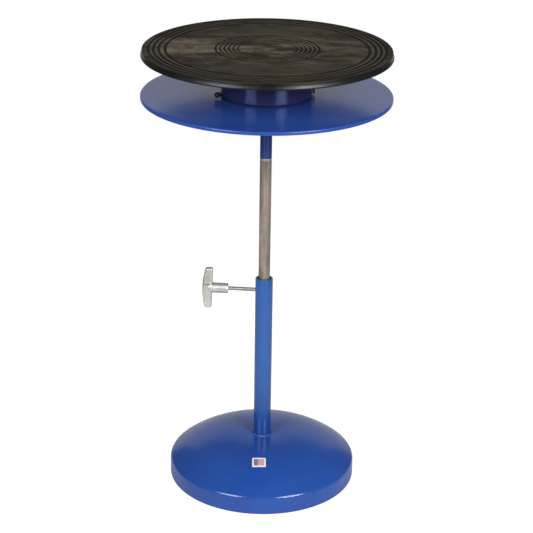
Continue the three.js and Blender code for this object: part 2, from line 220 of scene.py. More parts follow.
def hexagon(across, low, high, bore=0, sides=72):
    """A bolt head about Z, its top corners chamfered, or with a bore a nut chamfered both ends."""
    circle = across / 2 * 0.97
    drop = math.tan(math.radians(30))
    levels = [lambda rim: (rim, low)]
    if bore:
        levels = [lambda rim: (min(rim, circle), low), lambda rim: (rim, low + (rim - circle) * drop)]
    levels += [lambda rim: (rim, high - (rim - circle) * drop), lambda rim: (min(rim, circle), high)]
    if bore:
        levels += [lambda rim: (bore + 0.5, high), lambda rim: (bore, high - 0.5),
                   lambda rim: (bore, low + 0.5), lambda rim: (bore + 0.5, low)]

    def shaped(angle, _, level):
        return levels[level](hexagon_rim(across / 2, angle))

    rows = [(1, level) for level in range(len(levels))]
    if bore:
        return turned(rows, sides, True, shaped)
    return turned([(0, low), *rows, (0, high)], sides, False, shaped)


def hexagon_rim(flat, angle):
    """A hexagon's radius at an angle, from the radius of its flats."""
    return flat / math.cos((angle % (TURN / 6)) - TURN / 12)


def ball(radius, rows=14, sides=24):
    angles = [math.pi * i / rows for i in range(1, rows)]
    outline = [(radius * math.sin(a), -radius * math.cos(a)) for a in angles]
    return turned([(0, -radius), *outline, (0, radius)], sides, False)


def around(count, radius, z=0, offset=0.0):
    """Points spaced evenly on a circle about Z."""
    angles = [offset + TURN * i / count for i in range(count)]
    return [(radius * math.cos(a), radius * math.sin(a), z) for a in angles]


def radial_place(angle, radius, z):
    """A frame whose Z points outward from the object's axis."""
    spin = Matrix.Rotation(angle, 4, "Z") @ Matrix.Rotation(math.pi / 2, 4, "Y")
    where = Vector((radius * math.cos(angle), radius * math.sin(angle), z))
    return Matrix.Translation(where) @ spin


def at(x, y, z):
    return Matrix.Translation((x, y, z))


def make(name, shape, smooth=38, place=None):
    """The object of a shape. place, in millimetres, becomes the object's own frame."""
    mesh = bpy.data.meshes.new(name)
    mesh.from_pydata([v * MM for v in shape.verts], [], shape.faces)
    mesh.validate()
    work = bmesh.new()
    work.from_mesh(mesh)
    bmesh.ops.remove_doubles(work, verts=work.verts, dist=1e-7)
    bmesh.ops.recalc_face_normals(work, faces=work.faces)
    work.to_mesh(mesh)
    work.free()
    soften(mesh, smooth)
    obj = bpy.data.objects.new(name, mesh)
    bpy.context.scene.collection.objects.link(obj)
    if place:
        metres = place.copy()
        metres.translation *= MM
        obj.matrix_world = metres
    return obj


def soften(mesh, angle):
    mesh.polygons.foreach_set("use_smooth", [True] * len(mesh.polygons))
    mesh.set_sharp_from_angle(angle=math.radians(angle))


def baked(obj, smooth):
    """Applies an object's modifiers to its mesh."""
    graph = bpy.context.evaluated_depsgraph_get()
    mesh = bpy.data.meshes.new_from_object(obj.evaluated_get(graph))
    obj.modifiers.clear()
    obj.data = mesh
    soften(mesh, smooth)


def drill(obj, outline, sides, place, smooth=38):
    """Cuts a turned hole out of an object's mesh."""
    tool = make("cutter", Shape().add(*turned(outline, sides, False)), place=place)
    cutter = obj.modifiers.new("hole", "BOOLEAN")
    cutter.operation, cutter.solver, cutter.object = "DIFFERENCE", "EXACT", tool
    baked(obj, smooth)
    bpy.data.objects.remove(tool)


def finish(obj, look, *nodes):
    """Gives a piece its material, hides the CAD nodes it stands for and moves it onto their body."""
    slot, material = look
    obj.data.materials.clear()
    obj.data.materials.append(material)
    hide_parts(*nodes)
    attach(obj, NODES[nodes[0]]["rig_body"])


def lathe(name, outline, look, node, sides=64, closed=True, smooth=38, place=None, shift=None):
    """A finished piece turned about Z from its outline."""
    shape = Shape().add(*turned(outline, sides, closed, shift))
    finish(make(name, shape, smooth, place), look, node)


# ---------------------------------------------------------------- materials

class Nodes:
    """A node tree, written one call a node."""

    def __init__(self, tree):
        self.tree = tree

    def node(self, kind, inputs=None, **settings):
        made = self.tree.nodes.new(kind)
        for key, value in settings.items():
            setattr(made, key, value)
        for key, value in (inputs or {}).items():
            self.feed(made.inputs[key], value)
        return made

    def feed(self, socket, value):
        if isinstance(value, bpy.types.NodeSocket):
            self.tree.links.new(value, socket)
        else:
            socket.default_value = value

    def math(self, operation, a, b=0.0):
        return self.node("ShaderNodeMath", {0: a, 1: b}, operation=operation).outputs[0]

    def map(self, value, low, high, out_low, out_high, shape="LINEAR"):
        made = self.node("ShaderNodeMapRange", {
            "Value": value, "From Min": low, "From Max": high,
            "To Min": out_low, "To Max": out_high}, interpolation_type=shape)
        return made.outputs["Result"]

    def for_camera(self, others, camera):
        """A shader that the camera's own rays see in place of the one that lights the scene."""
        seen = self.node("ShaderNodeLightPath").outputs["Is Camera Ray"]
        return self.node("ShaderNodeMixShader", {0: seen, 1: others, 2: camera}).outputs[0]


class Finish(Nodes):
    """A material's nodes."""

    def __init__(self, name):
        self.material = bpy.data.materials.new(name)
        self.material.use_nodes = True
        super().__init__(self.material.node_tree)
        self.shader = next(n for n in self.tree.nodes if n.type == "BSDF_PRINCIPLED")
        self.place = self.node("ShaderNodeTexCoord").outputs["Object"]

    def set(self, **values):
        names = {"color": "Base Color", "rough": "Roughness", "metal": "Metallic", "ior": "IOR",
                 "specular": "Specular IOR Level", "shine": "Specular Tint", "normal": "Normal"}
        for key, value in values.items():
            self.feed(self.shader.inputs[names[key]], value)

    def axes(self):
        return self.node("ShaderNodeSeparateXYZ", {"Vector": self.place}).outputs

    def stretched(self, x, y, z):
        scaled = self.node("ShaderNodeMapping", {"Vector": self.place, "Scale": (x, y, z)})
        return scaled.outputs["Vector"]

    def noise(self, scale, detail, rough, vector=None, distortion=0.0):
        made = self.node("ShaderNodeTexNoise", {
            "Vector": vector or self.place, "Scale": scale, "Detail": detail,
            "Roughness": rough, "Distortion": distortion})
        return made.outputs["Fac"]

    def ramp(self, value, *stops):
        """Stops of a position and a colour or a grey level."""
        made = self.node("ShaderNodeValToRGB", {"Fac": value})
        elements = made.color_ramp.elements
        while len(elements) < len(stops):
            elements.new(0.5)
        for element, (position, color) in zip(elements, stops):
            element.position = position
            element.color = (*color, 1) if isinstance(color, tuple) else (color,) * 3 + (1,)
        return made.outputs["Color"]

    def mix(self, factor, a, b):
        made = self.node("ShaderNodeMix", data_type="RGBA")
        self.feed(made.inputs[0], factor)
        for index, value in ((6, a), (7, b)):
            self.feed(made.inputs[index], (*value, 1) if isinstance(value, tuple) else value)
        return made.outputs[2]

    def bump(self, height, strength, distance, under=None):
        inputs = {"Height": height, "Strength": strength, "Distance": distance}
        if under:
            inputs["Normal"] = under
        return self.node("ShaderNodeBump", inputs).outputs["Normal"]

    def attribute(self, name):
        return self.node("ShaderNodeAttribute", attribute_name=name).outputs["Fac"]

    def spotted(self, color, grain, low, high, amount, tint):
        """The colour with spots of a tint, where a noise rises from low to high."""
        spots = self.ramp(self.noise(*grain), (low, 0.0), (high, 1.0))
        return self.mix(self.math("MULTIPLY", spots, amount), color, tint)


def mottled(name, patches, dark, light, rough, grain, bump, spots=None, **settings):
    """A finish in patches of two tones, with a grain and perhaps spots.

    patches and grain are a noise's scale, detail and roughness. rough belongs to the dark and the
    light patches, and bump is the grain's strength and depth.
    """
    f = Finish(name)
    clouds = f.noise(*patches)
    color = f.ramp(clouds, (0.3, dark), (0.7, light))
    if spots:
        color = f.spotted(color, *spots)
    f.set(color=color, rough=f.map(clouds, 0.3, 0.7, *rough),
          normal=f.bump(f.noise(*grain), *bump), **settings)
    return f.material


def blue_paint(name, deep, light, haze=0.0, foot=None, shine=(1, 1, 1)):
    """Glossy blue enamel: faint clouding, orange peel, and a few dust nibs.

    haze makes it rougher. foot is the colour of a painted shade that it deepens to just above the
    dome, which is 8.5 to 19 cm above the floor. shine tints its reflections.
    """
    f = Finish(name)
    clouds = f.noise(9, 5, 0.6)
    fine = f.noise(240, 3, 0.6)
    color = f.ramp(clouds, (0.3, deep), (0.7, light))
    # Painted shade: the paint darkens towards the foot, just above the dome, where the tube meets it.
    if foot:
        color = f.mix(f.map(f.axes()["Z"], 0.085, 0.19, 0.9, 0.0), color, foot)
    color = f.spotted(color, (900, 2, 0.7), 0.72, 0.80, 0.18, (0.10, 0.14, 0.30))
    peel = f.bump(f.noise(420, 2, 0.5), 0.05, 0.0004)
    peel = f.bump(f.noise(60, 2, 0.5), 0.035, 0.002, peel)
    rough = f.map(f.math("ADD", fine, clouds), 0.6, 1.4, 0.13 + haze, 0.22 + haze)
    f.set(color=color, rough=rough, normal=peel, ior=1.5, shine=(*shine, 1))
    return f.material


def bright_steel(name="zinc_steel", tint=(0.60, 0.60, 0.565), rough=0.28):
    """Zinc-plated or ground steel: fine scratches, dull patches and darker dirt in the lows."""
    f = Finish(name)
    patches = f.noise(70, 5, 0.6)
    lines = f.noise(60, 4, 0.6, f.stretched(1, 1, 30))
    dark = tuple(c * 0.62 for c in tint)
    color = f.ramp(patches, (0.25, dark), (0.6, tint))
    color = f.mix(f.map(lines, 0.45, 0.75, 0.0, 0.35), color, tuple(c * 0.8 for c in tint))
    f.set(color=color, metal=1.0, rough=f.map(patches, 0.3, 0.7, rough + 0.16, rough),
          normal=f.bump(lines, 0.08, 0.0004))
    return f.material


def post_steel():
    """Drawn tube: bare brown-grey steel with drawing marks, painted blue above the paint line.

    Below half a metre it is worn: brown rubbed spots and a greenish tint.
    """
    f = Finish("post_finish")
    streaks = f.noise(190, 6, 0.7, f.stretched(1, 1, 0.04))
    mottle = f.noise(42, 6, 0.7, f.stretched(1, 1, 0.45))
    tint = f.noise(30, 3, 0.5, f.stretched(1, 1, 0.8))
    bare = f.ramp(streaks, (0.28, (0.205, 0.165, 0.130)), (0.5, (0.385, 0.320, 0.262)),
                  (0.72, (0.56, 0.485, 0.405)))
    bare = f.mix(f.map(mottle, 0.47, 0.62, 0.0, 0.7), bare, (0.200, 0.170, 0.135))
    bare = f.mix(f.map(tint, 0.54, 0.66, 0.0, 0.35), bare, (0.24, 0.290, 0.215))
    height = f.axes()["Z"]
    worn = f.map(height, 0.50, 0.42, 0.12, 1.0)
    green = f.math("MULTIPLY", worn, f.map(mottle, 0.42, 0.6, 0, 1))
    bare = f.mix(f.math("MULTIPLY", green, 0.4), bare, (0.17, 0.20, 0.11))
    spots = f.map(f.noise(75, 4, 0.65), 0.54, 0.66, 0.0, 0.55)
    bare = f.mix(f.math("MULTIPLY", spots, worn), bare, (0.36, 0.17, 0.115))
    ragged = f.math("ADD", height, f.map(f.noise(160, 3, 0.6), 0.3, 0.7, -0.0009, 0.0009))
    line = PAINT_LINE * MM
    painted = f.map(ragged, line - 0.0002, line + 0.0002, 0.0, 1.0)
    # A pale band just under the paint line is a painted sheen on the bare steel.
    edge = f.math("MULTIPLY", f.map(ragged, line - 0.0052, line - 0.0026, 0.0, 1.0),
                  f.map(ragged, line - 0.0002, line + 0.0004, 1.0, 0.0))
    bare = f.mix(f.math("MULTIPLY", edge, 0.7), bare, (0.52, 0.52, 0.62))
    blue = f.ramp(f.noise(9, 5, 0.6), (0.3, (0.010, 0.038, 0.165)), (0.7, (0.014, 0.048, 0.210)))
    f.set(color=f.mix(painted, bare, blue), metal=f.map(painted, 0, 1, 0.70, 0.0),
          rough=f.math("ADD", f.map(painted, 0, 1, 0.30, 0.18), f.map(streaks, 0.3, 0.7, 0, 0.10)),
          normal=f.bump(streaks, 0.14, 0.0003))
    return f.material


def cast_aluminium():
    """Tumbled die casting: a soft skin with pits, smudges and a warmer tone in its lows."""
    f = Finish("cast_aluminium_skin")
    skin = f.noise(160, 6, 0.6)
    smudge = f.noise(45, 4, 0.6)
    color = f.ramp(smudge, (0.3, (0.58, 0.575, 0.525)), (0.65, (0.82, 0.815, 0.765)))
    pits = f.ramp(f.noise(700, 3, 0.6), (0.30, 1.0), (0.40, 0.0))
    color = f.mix(f.math("MULTIPLY", pits, 0.5), color, (0.25, 0.24, 0.21))
    up, _, out = f.axes()
    seam = f.math("ABSOLUTE", f.math("SUBTRACT", up, SEAM_PLACE * MM))
    seam = f.math("MULTIPLY", f.map(seam, 0.0004, 0.0011, 0.8, 0.0),
                  f.map(out, (HUB_END - 3) * MM, (HUB_END - 2) * MM, 0.0, 1.0))
    color = f.mix(seam, color, (0.09, 0.085, 0.075))
    normal = f.bump(f.noise(520, 4, 0.6), 0.18, 0.0005)
    normal = f.bump(skin, 0.12, 0.0012, normal)
    f.set(color=color, metal=0.88, rough=f.map(skin, 0.3, 0.7, 0.34, 0.52), normal=normal)
    return f.material


def cast_iron():
    """Rough casting skin with a little rust."""
    return mottled("cast_iron_skin", (320, 6, 0.65), (0.028, 0.028, 0.030),
                   (0.085, 0.083, 0.080), (0.55, 0.8), (320, 6, 0.65), (0.45, 0.0012),
                   ((26, 5, 0.6), 0.5, 0.68, 0.35, (0.14, 0.07, 0.035)), metal=0.55)


def brass():
    """Turned brass: dull and bright patches under fine turning lines."""
    f = Finish("turned_brass")
    patches = f.noise(120, 4, 0.6)
    lines = f.noise(260, 3, 0.6, f.stretched(1, 1, 8))
    color = f.ramp(patches, (0.3, (0.36, 0.22, 0.07)), (0.7, (0.60, 0.42, 0.15)))
    f.set(color=color, metal=1.0, rough=f.map(patches, 0.3, 0.7, 0.42, 0.25),
          normal=f.bump(lines, 0.1, 0.0002))
    return f.material


def rubber():
    """Black rubber, greyed by dust."""
    f = Finish("foot_rubber")
    dust = f.noise(60, 4, 0.6)
    color = f.ramp(dust, (0.35, (0.012, 0.012, 0.012)), (0.7, (0.035, 0.034, 0.032)))
    f.set(color=color, rough=f.map(dust, 0.3, 0.7, 0.6, 0.85),
          normal=f.bump(f.noise(700, 4, 0.6), 0.25, 0.0004))
    return f.material


def nylon():
    """Natural nylon, off-white."""
    return mottled("moulded_nylon", (80, 4, 0.6), (0.68, 0.65, 0.57), (0.78, 0.76, 0.69),
                   (0.38, 0.55), (500, 3, 0.5), (0.1, 0.0003))


def black_steel():
    """Satin black enamel with rubbed, slightly lighter patches."""
    return mottled("black_enamel", (60, 5, 0.6), (0.008, 0.008, 0.009), (0.020, 0.020, 0.022),
                   (0.28, 0.42), (600, 3, 0.5), (0.12, 0.0003),
                   ((220, 4, 0.65), 0.62, 0.75, 0.4, (0.09, 0.088, 0.085)), metal=0.2)


def plate_primer():
    """The backing plate's dull grey-black primer."""
    return mottled("dull_primer", (30, 5, 0.6), (0.055, 0.055, 0.062), (0.095, 0.095, 0.105),
                   (0.75, 0.9), (500, 3, 0.5), (0.15, 0.0003), specular=0.15)


def top_material():
    """The moulded disc: dusty brown-black, darker towards its edge, painted shade in its grooves.

    Dustier and lighter in a band across its middle, most on its left; darker in front and behind.
    """
    f = Finish("moulded_black")
    lift = f.attribute("ridge")
    outward = f.attribute("outward")
    clouds = f.noise(9, 7, 0.66, f.stretched(0.8, 1.3, 1))
    wipes = f.noise(17, 8, 0.72, f.stretched(0.7, 1.3, 1), 0.4)
    color = f.ramp(clouds, (0.32, (0.014, 0.0103, 0.0066)), (0.50, (0.034, 0.0260, 0.0170)),
                   (0.68, (0.074, 0.0575, 0.0385)))
    axes = f.axes()
    # A band across the middle, strongest on the left: dustier there, darker in front of it and behind
    # it.
    middle_band = f.math("MULTIPLY", f.map(f.math("ABSOLUTE", axes["Y"]), 0.05, 0.12, 1.0, 0.0),
                  f.map(axes["X"], -0.02, 0.16, 1.0, 0.45))
    dusty = f.math("MULTIPLY", f.map(wipes, 0.44, 0.64, 0.0, 1.0), f.map(middle_band, 0, 1, 0.30, 0.95))
    color = f.mix(dusty, color, (0.180, 0.148, 0.109))
    color = f.mix(f.map(middle_band, 0, 1, 0.35, 0.0), color, (0.020, 0.0158, 0.0108))
    worn = f.math("MULTIPLY", f.map(wipes, 0.48, 0.34, 0.0, 1.0), 0.7)
    color = f.mix(worn, color, (0.014, 0.0107, 0.0072))
    color = f.spotted(color, (520, 2, 0.7), 0.68, 0.78, 0.2, (0.20, 0.18, 0.15))
    color = f.mix(f.math("MULTIPLY", outward, 0.55), color, (0.018, 0.0145, 0.0105))
    high = f.map(lift, 0.1, 1.0, 0.0, 0.40)
    color = f.mix(high, color, (0.130, 0.110, 0.082))
    # Painted shade: the grooves are darkened almost to black.
    low = f.map(lift, -0.62, -0.12, 1.0, 0.0)
    color = f.mix(f.math("MULTIPLY", low, 0.92), color, (0.0040, 0.0032, 0.0024))
    normal = f.bump(f.noise(1500, 3, 0.6), 0.12, 0.0003)
    normal = f.bump(f.noise(180, 4, 0.6), 0.10, 0.0006, normal)
    f.set(color=color, rough=f.map(clouds, 0.3, 0.7, 0.66, 0.80), normal=normal, specular=0.18,
          ior=1.35)
    return f.material


def rim_material():
    """The disc's rim: the same moulding, rubbed smooth and glossy by hands."""
    return mottled("moulded_rim", (30, 5, 0.6), (0.0035, 0.0034, 0.0035),
                   (0.0080, 0.0074, 0.0070), (0.28, 0.40), (900, 3, 0.5), (0.08, 0.0002),
                   ((700, 3, 0.7), 0.66, 0.76, 0.25, (0.10, 0.09, 0.08)), specular=0.36)


def sticker_material():
    """Printed paper: white border round a plain two-tone colour block."""
    f = Finish("printed_label")
    x, y, _ = f.axes()
    half_x, half_y = 0.0098, 0.0085
    split = -0.0020

    def inside(value, low, high, soft=0.0004):
        rise = f.map(value, low - soft, low + soft, 0.0, 1.0)
        fall = f.map(value, high - soft, high + soft, 1.0, 0.0)
        return f.math("MULTIPLY", rise, fall)

    def tone(scale, detail, dark, light):
        return f.ramp(f.noise(scale, detail, 0.6), (0.3, dark), (0.7, light))

    panel = f.math("MULTIPLY", inside(x, -half_x, half_x), inside(y, -half_y, half_y))
    block = f.math("MULTIPLY", inside(x, -half_x, split), inside(y, -half_y, half_y))
    color = f.mix(panel, tone(600, 4, (0.74, 0.73, 0.74), (0.84, 0.83, 0.84)),
                  tone(900, 3, (0.52, 0.27, 0.27), (0.64, 0.37, 0.37)))
    color = f.mix(block, color, tone(700, 3, (0.14, 0.13, 0.22), (0.22, 0.20, 0.30)))
    f.set(color=color, rough=f.map(f.noise(300, 3, 0.5), 0.3, 0.7, 0.35, 0.5),
          normal=f.bump(f.noise(1200, 3, 0.5), 0.1, 0.0001))
    return f.material


# Each look is a slot and its material.
BLUE = ("blue_paint", blue_paint("blue_gloss", (0.012, 0.056, 0.272), (0.016, 0.071, 0.325)))
# The tube darkens at its foot, just above the dome: painted shade.
TUBE_BLUE = ("blue_paint", blue_paint("tube_gloss", (0.016, 0.076, 0.280), (0.025, 0.103, 0.345),
                                      foot=(0.010, 0.044, 0.215)))
PAN_BLUE = ("blue_paint", blue_paint("pan_gloss", (0.020, 0.064, 0.305), (0.027, 0.080, 0.355),
                                     0.02))
# The drum's copy of the blue paint is darker and more purple: painted shade under the disc. The lock
# nut takes it too.
DRUM_SHADED_BLUE = ("blue_paint", blue_paint("drum_gloss_painted_shade", (0.028, 0.024, 0.080),
                                      (0.034, 0.034, 0.122), -0.05, shine=(0.35, 0.52, 1.0)))
ZINC = ("bright_steel", bright_steel())
GROUND = ("bright_steel", bright_steel("ground_steel", (0.70, 0.70, 0.69), 0.16))
IRON = ("cast_iron", cast_iron())
BRASS = ("brass", brass())
RUBBER = ("rubber", rubber())
NYLON = ("nylon", nylon())
BLACK = ("black_steel", black_steel())
PRIMER = ("black_steel", plate_primer())


# ---------------------------------------------------------------- base

SHOULDER = 10.0  # the radius that joins the dome to its wall
SHOULDER_SWEEP = 51  # degrees of it
WALL_TOP = 31.0
SHELL_SHEET = 2.5
DOME_EDGE = arc(BASE_RADIUS - SHOULDER, WALL_TOP, SHOULDER, 0, SHOULDER_SWEEP, 1)[1]
WELD_INNER = TUBE_OUTER + 0.3
BOLT_BORE = 5.1  # through the ballast, the plug and the washer
FOOT_CIRCLE = 138


def dome_height(radius):
    """The dome's outside: level at the tube, and steeper with the cube of the way out."""
    share = max(0.0, (radius - TUBE_OUTER) / (DOME_EDGE[0] - TUBE_OUTER))
    return DOME_TOP - (DOME_TOP - DOME_EDGE[1]) * share ** 3


def dome_point(radius, offset, step=0.5):
    """A point of the dome, moved in square to its surface."""
    slope = dome_height(radius + step / 2) - dome_height(radius - step / 2)
    length = math.hypot(slope, step)
    return radius + offset * slope / length, dome_height(radius) - offset * step / length


def shell_outline(offset, rows):
    """The dome from the rim to the tube's hole, moved inward by an offset."""
    rim = SHELL_LOW.z
    wall = [(BASE_RADIUS - offset, rim + (WALL_TOP - rim) * i / 5) for i in range(1, 5)]
    shoulder = arc(BASE_RADIUS - SHOULDER, WALL_TOP, SHOULDER - offset, 0, SHOULDER_SWEEP, 10)
    last, first = WELD_INNER, DOME_EDGE[0]
    radii = [first + (last - first) * i / rows for i in range(1, rows)]
    dome = [dome_point(r, offset) for r in radii]
    return wall + shoulder + dome + [(last, dome_height(last) - offset)]


def weld_bead(inner, low, reach_out, reach_up, ripples, seed, sides=288):
    """A fillet weld ring: overlapping ripples of uneven size laid round a tube."""
    rows = 9

    def bead(angle, r, z):
        out, up = (r - inner) / reach_out, (z - low) / reach_up
        phase = angle / TURN * ripples + 0.35 * (out - up)
        wave = abs(math.sin(math.pi * phase)) ** 0.6
        here = Vector((math.cos(angle) * 2.4, math.sin(angle) * 2.4, seed))
        swell = 0.85 + 0.45 * noise.noise(here * 1.6) + 0.40 * noise.noise(here * 4)
        swell += 0.30 * (wave - 0.7)
        return inner + (r - inner) * swell, low + (z - low) * swell

    outline = [(inner, low)]
    for i in range(rows + 1):
        angle = math.pi / 2 * i / rows
        outline.append((inner + reach_out * math.cos(angle) ** 1.5,
                        low + reach_up * math.sin(angle) ** 1.5))
    return turned(outline, sides, True, bead)


def make_shell():
    """The pressed dome with its rolled rim, and the weld bead round the tube."""
    outside = shell_outline(0, 52)
    inside = shell_outline(SHELL_SHEET, 26)
    half = SHELL_SHEET / 2
    lip = arc(BASE_RADIUS - half, SHELL_LOW.z + half, half, 180, 360, 8)

    def pressed(angle, r, z):
        here = Vector((math.cos(angle) * r, math.sin(angle) * r, 0)) / 60
        amount = limited((170 - r) / 60) * limited((r - 26) / 30)
        return r, z + 0.10 * amount * noise.noise(here)

    lathe("base_dome", [*inside[::-1], *lip, *outside], BLUE, "base_shell", 192, smooth=60,
          shift=pressed)
    bead = Shape().add(*weld_bead(WELD_INNER, DOME_TOP + 0.02, 3.3, 3.3, 17, 1.0))
    finish(make("base_weld_bead", bead, 60), BLUE, "base_weld")


def make_tube():
    """The upright, with a tapped and countersunk hole for the clamp screw."""
    pipe = ring(TUBE_INNER, TUBE_OUTER, TUBE_LOW.z, TUBE_TOP, (0.4, 0.8, 1.1, 0.9))
    tube = make("upright_tube", Shape().add(*turned(pipe, 96)), 50)
    hole = rounded([(0, -8), (4.15, -8), (4.15, -0.9), (5.0, 0.6), (5.0, 3), (0, 3)])
    drill(tube, hole, 48, clamp_place())
    finish(tube, TUBE_BLUE, "outer_tube")


def make_ballast():
    """The weight in the base, with a ring groove, on four ribbed rubber feet."""
    low, high = edges_of("ballast_plate")
    seat, groove = 13.6, low.z + 1.2
    plate = rounded([
        (BOLT_BORE, seat), (17.4, seat), (17.4, low.z, 0.6), (60, low.z, 2), (63, groove, 2),
        (118, groove, 2), (121, low.z, 2), (high.x, low.z, 2.2), (high.x, high.z, 2.2),
        (BOLT_BORE, high.z)])
    lathe("ballast_disc", divided(plate, 12, True), IRON, "ballast_plate", 128, smooth=40)

    foot = rounded([(0, 0.7), (5.5, 0.7, 0.3), (6.3, 0, 0.3), (9.0, 0, 0.3), (9.6, 0.7, 0.2),
                    (10.2, 0, 0.3), (12.8, 0, 0.9), (14.0, 1.9, 0.9), (13.6, 3.7, 0.4),
                    (5.0, 3.7), (4.6, 8.0, 0.5), (5.3, 11.0, 0.6), (3.4, 13.5, 0.6), (0, 13.5)],
                   4, False)
    for i, point in enumerate(around(4, FOOT_CIRCLE, 0, math.pi / 4), 1):
        lathe(f"rubber_foot_{i}", foot, RUBBER, f"foot_{i}", 56, False, 45, at(*point))


def make_base_bolt():
    """The plug in the tube's foot, and the bolt and washer that pull the ballast to it."""
    plug = ring(BOLT_BORE, 13, 18.3, 40, (0, 0.8, 1.2, 0.8))
    lathe("tube_plug_ring", plug, ZINC, "tube_plug")
    washer = ring(BOLT_BORE, 15, 11, 13.3, (0.3, 0.5, 0.5, 0.3))
    lathe("base_bolt_washer", washer, ZINC, "base_washer")
    bolt = Shape().add(*hexagon(17, 0, 5.9), Matrix.Rotation(math.pi, 4, "X"))
    bolt.add(*threaded(4.8, 0.6, 1.5, -0.6, 26))
    finish(make("base_bolt_hex", bolt, 30, at(0, 0, 10.7)), ZINC, "base_bolt")


def make_sticker():
    """A thin sticker with rounded corners, lying on the dome's front."""
    low, high = edges_of("label_sticker")
    middle, half = (low + high).to_2d() / 2, (high - low).to_2d() / 2
    corner, steps, lift, thick = 1.2, 12, 0.45, 0.25
    verts, faces = [], []
    for side in (0, 1):
        for i in range(steps + 1):
            for j in range(steps + 1):
                u, v = 2 * i / steps - 1, 2 * j / steps - 1
                x, y = u * half.x, v * half.y
                dx, dy = abs(x) - (half.x - corner), abs(y) - (half.y - corner)
                if dx > 0 and dy > 0:
                    pull = corner / max(corner, math.hypot(dx, dy))
                    x = math.copysign(half.x - corner + dx * pull, x)
                    y = math.copysign(half.y - corner + dy * pull, y)
                height = dome_height(math.hypot(x + middle.x, y + middle.y))
                verts.append((x, y, height - dome_height(abs(middle.y)) + lift + thick * side))
    row = steps + 1
    for i in range(steps):
        for j in range(steps):
            a = i * row + j
            faces.append((a, a + 1, a + row + 1, a + row))
            b = a + row * row
            faces.append((b, b + row, b + row + 1, b + 1))
    border = [*range(row), *[i * row + steps for i in range(1, row)],
              *[steps * row + j for j in range(steps - 1, -1, -1)],
              *[i * row for i in range(steps - 1, 0, -1)]]
    for a, b in zip(border, border[1:] + border[:1]):
        faces.append((a, b, b + row * row, a + row * row))
    place = at(middle.x, middle.y, dome_height(abs(middle.y)))
    sticker = make("front_sticker", Shape().add(verts, faces), 30, place)
    finish(sticker, ("sticker", sticker_material()), "label_sticker")


def make_base():
    make_shell()
    make_tube()
    make_ballast()
    make_base_bolt()
    make_sticker()


# ---------------------------------------------------------------- clamp

SCREW_RADIUS = 3.95
SCREW_PITCH = 25.4 / 18
GRIP_REACH = 40  # half of the grip's length


def clamp_place():
    """Local Z runs out along the clamp screw, local X up, local Y along +Y."""
    out = Vector((-math.cos(CLAMP_TILT), 0, math.sin(CLAMP_TILT)))
    side = Vector((0, 1, 0))
    basis = Matrix((side.cross(out), side, out)).transposed().to_4x4()
    return Matrix.Translation((-TUBE_OUTER, 0, CLAMP_HEIGHT)) @ basis


def handle_shape():
    """The T: a round hub and a bowed, tapered grip with blunt ends."""
    hub = rounded([(0, HUB_START + 0.2), (9.4, HUB_START + 0.2, 2.2), (9.8, HUB_START + 5),
                   (9.9, HUB_END + 6), (0, HUB_END + 6)], 5, False)
    shape = Shape().add(*turned(divided(hub, 3), 64, False))
    stations, ring = 48, 40
    verts = []
    for i in range(stations + 1):
        along = -math.cos(math.pi * i / stations)
        taper = along ** 2
        cap = min(1.0, (1 - abs(along)) / 0.035)
        blunt = 0.84 + 0.16 * math.sqrt(max(0.0, 1 - (1 - cap) ** 2))
        depth, width = (19.2 - 5.2 * taper) * blunt, (16.8 - 4.0 * taper) * blunt
        middle = HUB_END + depth / 2 - 1.3 + (1 - blunt) * 6
        for j in range(ring):
            c, s = math.cos(TURN * j / ring), math.sin(TURN * j / ring)
            y = math.copysign(abs(c) ** 0.62, c) * width / 2
            z = math.copysign(abs(s) ** 0.66, s) * depth / 2
            verts.append((along * GRIP_REACH, y, middle + z))
    faces = [(i * ring + j, i * ring + (j + 1) % ring, (i + 1) * ring + (j + 1) % ring,
              (i + 1) * ring + j) for i in range(stations) for j in range(ring)]
    faces.append(tuple(reversed(range(ring))))
    faces.append(tuple(stations * ring + j for j in range(ring)))
    return shape.add(verts, faces)


def chase(handle):
    """The casting's marks: a groove across the grip and a fine parting ridge down its middle."""
    mesh = handle.data
    normals = [v.normal.copy() for v in mesh.vertices]
    for vertex, normal in zip(mesh.vertices, normals):
        x, y, z = vertex.co / MM
        push = 0.0
        if z > HUB_END - 0.5:
            push -= 0.45 * math.exp(-(((x - SEAM_PLACE) / 0.8) ** 2))
            push += 0.30 * math.exp(-(((x - SEAM_PLACE - 2.4) / 1.5) ** 2))
        push += 0.16 * math.exp(-((y / 0.55) ** 2))
        vertex.co += normal * push * MM


def make_clamp():
    """The T-handle, its screw with a bored end, the roll pin through both, and the tip."""
    place = clamp_place()
    handle = make("clamp_tee_handle", handle_shape(), 60, place)
    remesh = handle.modifiers.new("fuse", "REMESH")
    remesh.mode, remesh.voxel_size = "VOXEL", 0.00062
    soften_joint = handle.modifiers.new("soft", "SMOOTH")
    soften_joint.factor, soften_joint.iterations = 0.5, 4
    baked(handle, 45)
    chase(handle)
    finish(handle, ("cast_aluminium", cast_aluminium()), "clamp_handle")

    thread = Shape().add(*threaded(SCREW_RADIUS, 0.62, SCREW_PITCH, -2.6, HUB_START + 1.5, 36, 7))
    screw = make("clamp_thread", thread, 50, place)
    drill(screw, [(0, -4), (1.8, -4), (1.8, 2.2), (0, 2.2)], 36, place, 50)
    finish(screw, ZINC, "clamp_screw")

    pin = ring(0.9, 1.9, -9.2, 9.2, (0.2, 0.5, 0.5, 0.2), 4)
    across = place @ at(0, 0, HUB_START + 10) @ Matrix.Rotation(math.pi / 2, 4, "X")
    lathe("clamp_roll_pin", pin, ZINC, "clamp_pin", 28, smooth=40, place=across)

    pad = rounded([(0, -5.2), (2.9, -5.2, 0.5), (2.9, -2.9, 0.4), (1.5, -2.9), (1.5, 1.6, 0.4),
                   (0, 1.6)], 4, False)
    lathe("clamp_brass_tip", pad, BRASS, "clamp_pad", 36, False, 40, place)


# ---------------------------------------------------------------- post and pan

